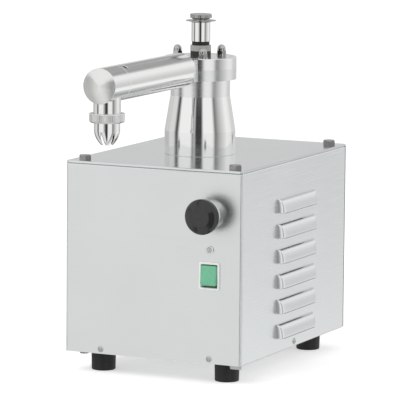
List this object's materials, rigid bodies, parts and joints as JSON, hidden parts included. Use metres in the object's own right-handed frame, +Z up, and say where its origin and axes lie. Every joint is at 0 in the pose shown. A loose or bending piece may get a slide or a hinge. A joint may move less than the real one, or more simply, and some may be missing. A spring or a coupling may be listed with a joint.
{
  "type": "cream whipper machine",
  "caption": "Countertop cream whipper: louvred steel housing on rubber feet, turned pump tower with air valve and domed nuts, long horizontal whipping arm with a star nozzle, front push button.",
  "frame": {"origin": "bottom centre of the whole machine's bounding box, on the surface it stands on", "axes": "+Z up; the front panel and the nozzle face -Y; +X is to the right of a person who faces the machine's front, so the louvres seen in the picture are on +X"},
  "size_m": [0.235, 0.447, 0.4056],
  "materials": {
    "brushed_steel": "fine satin-brushed stainless sheet",
    "polished_steel": "mirror-polished turned stainless steel",
    "satin_steel": "fine-turned stainless steel",
    "bright_steel": "zinc-bright machine screws and nuts",
    "cast_aluminium": "as-cast aluminium",
    "lamination_steel": "varnished laminated core",
    "black_rubber": "matte moulded rubber",
    "black_plastic": "glossy moulded plastic",
    "matte_black_plastic": "matte moulded plastic",
    "grey_plastic": "matte turned plastic",
    "white_plastic": "moulded plastic",
    "green_plastic": "soft green moulded plastic",
    "clear_plastic": "clear moulded lens"
  },
  "bodies": {
    "machine": {"base_tray": "brushed_steel", "feet": "black_rubber", "foot_screws": "bright_steel", "corner_posts": "cast_aluminium", "front_panel": "brushed_steel", "back_panel": "brushed_steel", "right_panel": "brushed_steel", "left_panel": "brushed_steel", "top_plate": "brushed_steel", "top_screws": "bright_steel", "panel_screws": "bright_steel", "m6_screws": "bright_steel", "cable_gland": "matte_black_plastic", "rocker_body": "white_plastic", "rocker_pin": "bright_steel", "push_bezel": "polished_steel", "push_nut": "bright_steel", "push_spring": "bright_steel", "contact_block": "grey_plastic", "indicator_holder": "polished_steel", "indicator_lens": "clear_plastic", "tower": "polished_steel", "shaft_bearings": "bright_steel", "shaft_seal": "black_rubber", "motor_bracket": "cast_aluminium", "motor_housing": "cast_aluminium", "stator_core": "lamination_steel", "fan_cover": "cast_aluminium", "run_capacitor": "grey_plastic", "pump_body": "satin_steel", "pump_o_ring": "black_rubber", "idler_pin": "satin_steel", "pump_cover": "polished_steel", "pump_studs": "bright_steel", "cap_nuts": "polished_steel", "suction_nipple": "satin_steel", "valve_base": "matte_black_plastic", "valve_scale_ring": "grey_plastic", "valve_seal": "black_rubber", "valve_sleeve": "polished_steel", "arm_neck": "satin_steel", "arm_tube": "polished_steel", "labyrinth_rod": "satin_steel", "lock_pins": "satin_steel"},
    "rocker_button": {"rocker": "green_plastic"},
    "push_button": {"push_head": "black_plastic", "push_stem": "white_plastic"},
    "drive_train": {"rotor": "lamination_steel", "motor_fan": "matte_black_plastic", "coupling_hubs": "cast_aluminium", "coupling_spider": "black_rubber", "drive_shaft": "satin_steel", "drive_gear": "satin_steel"},
    "idler": {"driven_gear": "satin_steel"},
    "air_knob": {"valve_knob": "satin_steel", "valve_disc": "polished_steel"},
    "air_needle": {"valve_needle": "satin_steel"},
    "arm_end": {"end_cap": "polished_steel", "star_nozzle": "polished_steel"},
    "union": {"union_nut": "satin_steel"}
  },
  "joints": [
    {"name": "rocker_tilt", "type": "hinge", "parent": "machine", "child": "rocker_button", "pos_m": [0.071, -0.0935, 0.1238], "axis": [1, 0, 0], "range_deg": [0, 16]},
    {"name": "push_in", "type": "slide", "parent": "machine", "child": "push_button", "axis": [0, 1, 0], "range_m": [0, 0.005], "stiffness_N_per_m": 600, "deforming": ["push_spring"]},
    {"name": "drive_spin", "type": "hinge", "parent": "machine", "child": "drive_train", "pos_m": [-0.005, 0.0375, 0.344], "axis": [0, 0, 1], "continuous": true},
    {"name": "idler_spin", "type": "hinge", "parent": "machine", "child": "idler", "pos_m": [0.015, 0.0375, 0.344], "axis": [0, 0, 1], "continuous": true},
    {"name": "needle_lift", "type": "slide", "parent": "machine", "child": "air_needle", "axis": [0, 0, 1], "range_m": [0, 0.004]},
    {"name": "air_turn", "type": "hinge", "parent": "machine", "child": "air_knob", "pos_m": [-0.005, 0.0375, 0.3964], "axis": [0, 0, 1], "range_deg": [0, 301]},
    {"name": "cap_bayonet", "type": "hinge", "parent": "machine", "child": "arm_end", "pos_m": [-0.005, -0.1848, 0.3449], "axis": [0, 1, 0], "range_deg": [0, 60]},
    {"name": "union_turn", "type": "hinge", "parent": "arm_end", "child": "union", "pos_m": [-0.005, -0.2037, 0.3139], "axis": [0, 0, 1], "continuous": true}
  ],
  "couplings": [
    {"joint": "idler_spin", "follows": "drive_spin", "ratio": -1},
    {"joint": "air_turn", "follows": "needle_lift", "rad_per_m": 1309}
  ]
}
